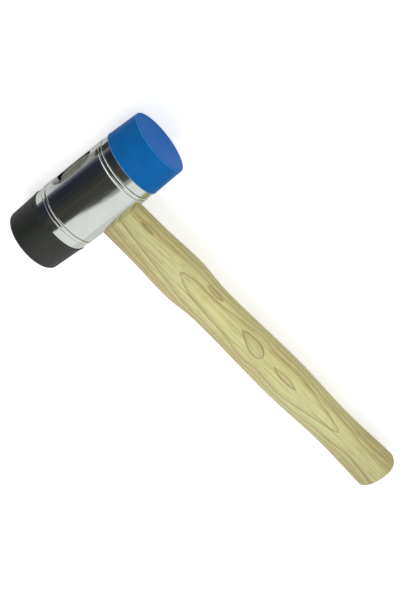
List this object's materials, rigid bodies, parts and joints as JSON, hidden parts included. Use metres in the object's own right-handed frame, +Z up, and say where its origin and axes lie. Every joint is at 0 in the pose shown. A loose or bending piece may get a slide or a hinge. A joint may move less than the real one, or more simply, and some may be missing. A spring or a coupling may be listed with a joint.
{
  "type": "panel beating hammer",
  "caption": "Two-way soft-face hammer: chromed cylindrical head with a screwed-in rubber face and plastic face, on a shaped ash handle wedged through the head.",
  "frame": {"origin": "middle of the hammer's footprint, on the floor that it lies on", "axes": "+X along the handle from the head to the butt, +Y along the head towards the blue face, +Z up"},
  "size_m": [0.2986, 0.0948, 0.0404],
  "materials": {
    "chrome": "polished chrome plate",
    "steel": "bare steel",
    "blue_plastic": "glossy blue plastic",
    "black_rubber": "matte black rubber",
    "ash": "pale ash with a thin clear finish",
    "beech": "bare wood"
  },
  "bodies": {
    "head": {"head_body": "chrome", "handle": "ash", "wood_wedge": "beech", "steel_wedge": "steel"},
    "blue_ring": {"blue_seat_ring": "chrome"},
    "blue_tip": {"blue_collar": "chrome", "blue_face": "blue_plastic", "blue_stud": "steel"},
    "rubber_ring": {"rubber_seat_ring": "chrome"},
    "rubber_tip": {"rubber_collar": "chrome", "rubber_face": "black_rubber", "rubber_stud": "steel"}
  },
  "joints": [
    {"name": "blue_travel", "type": "slide", "parent": "head", "child": "blue_ring", "axis": [0, 1, 0], "range_m": [0, 0.005]},
    {"name": "blue_screw", "type": "hinge", "parent": "blue_ring", "child": "blue_tip", "pos_m": [-0.12913, 0.03, 0.0202], "axis": [0, 1, 0], "range_deg": [0, 1440.5]},
    {"name": "rubber_travel", "type": "slide", "parent": "head", "child": "rubber_ring", "axis": [0, -1, 0], "range_m": [0, 0.005]},
    {"name": "rubber_screw", "type": "hinge", "parent": "rubber_ring", "child": "rubber_tip", "pos_m": [-0.12913, -0.03, 0.0202], "axis": [0, -1, 0], "range_deg": [0, 1440.5]}
  ],
  "couplings": [
    {"joint": "blue_screw", "follows": "blue_travel", "rad_per_m": 5026.5},
    {"joint": "rubber_screw", "follows": "rubber_travel", "rad_per_m": 5026.5}
  ]
}
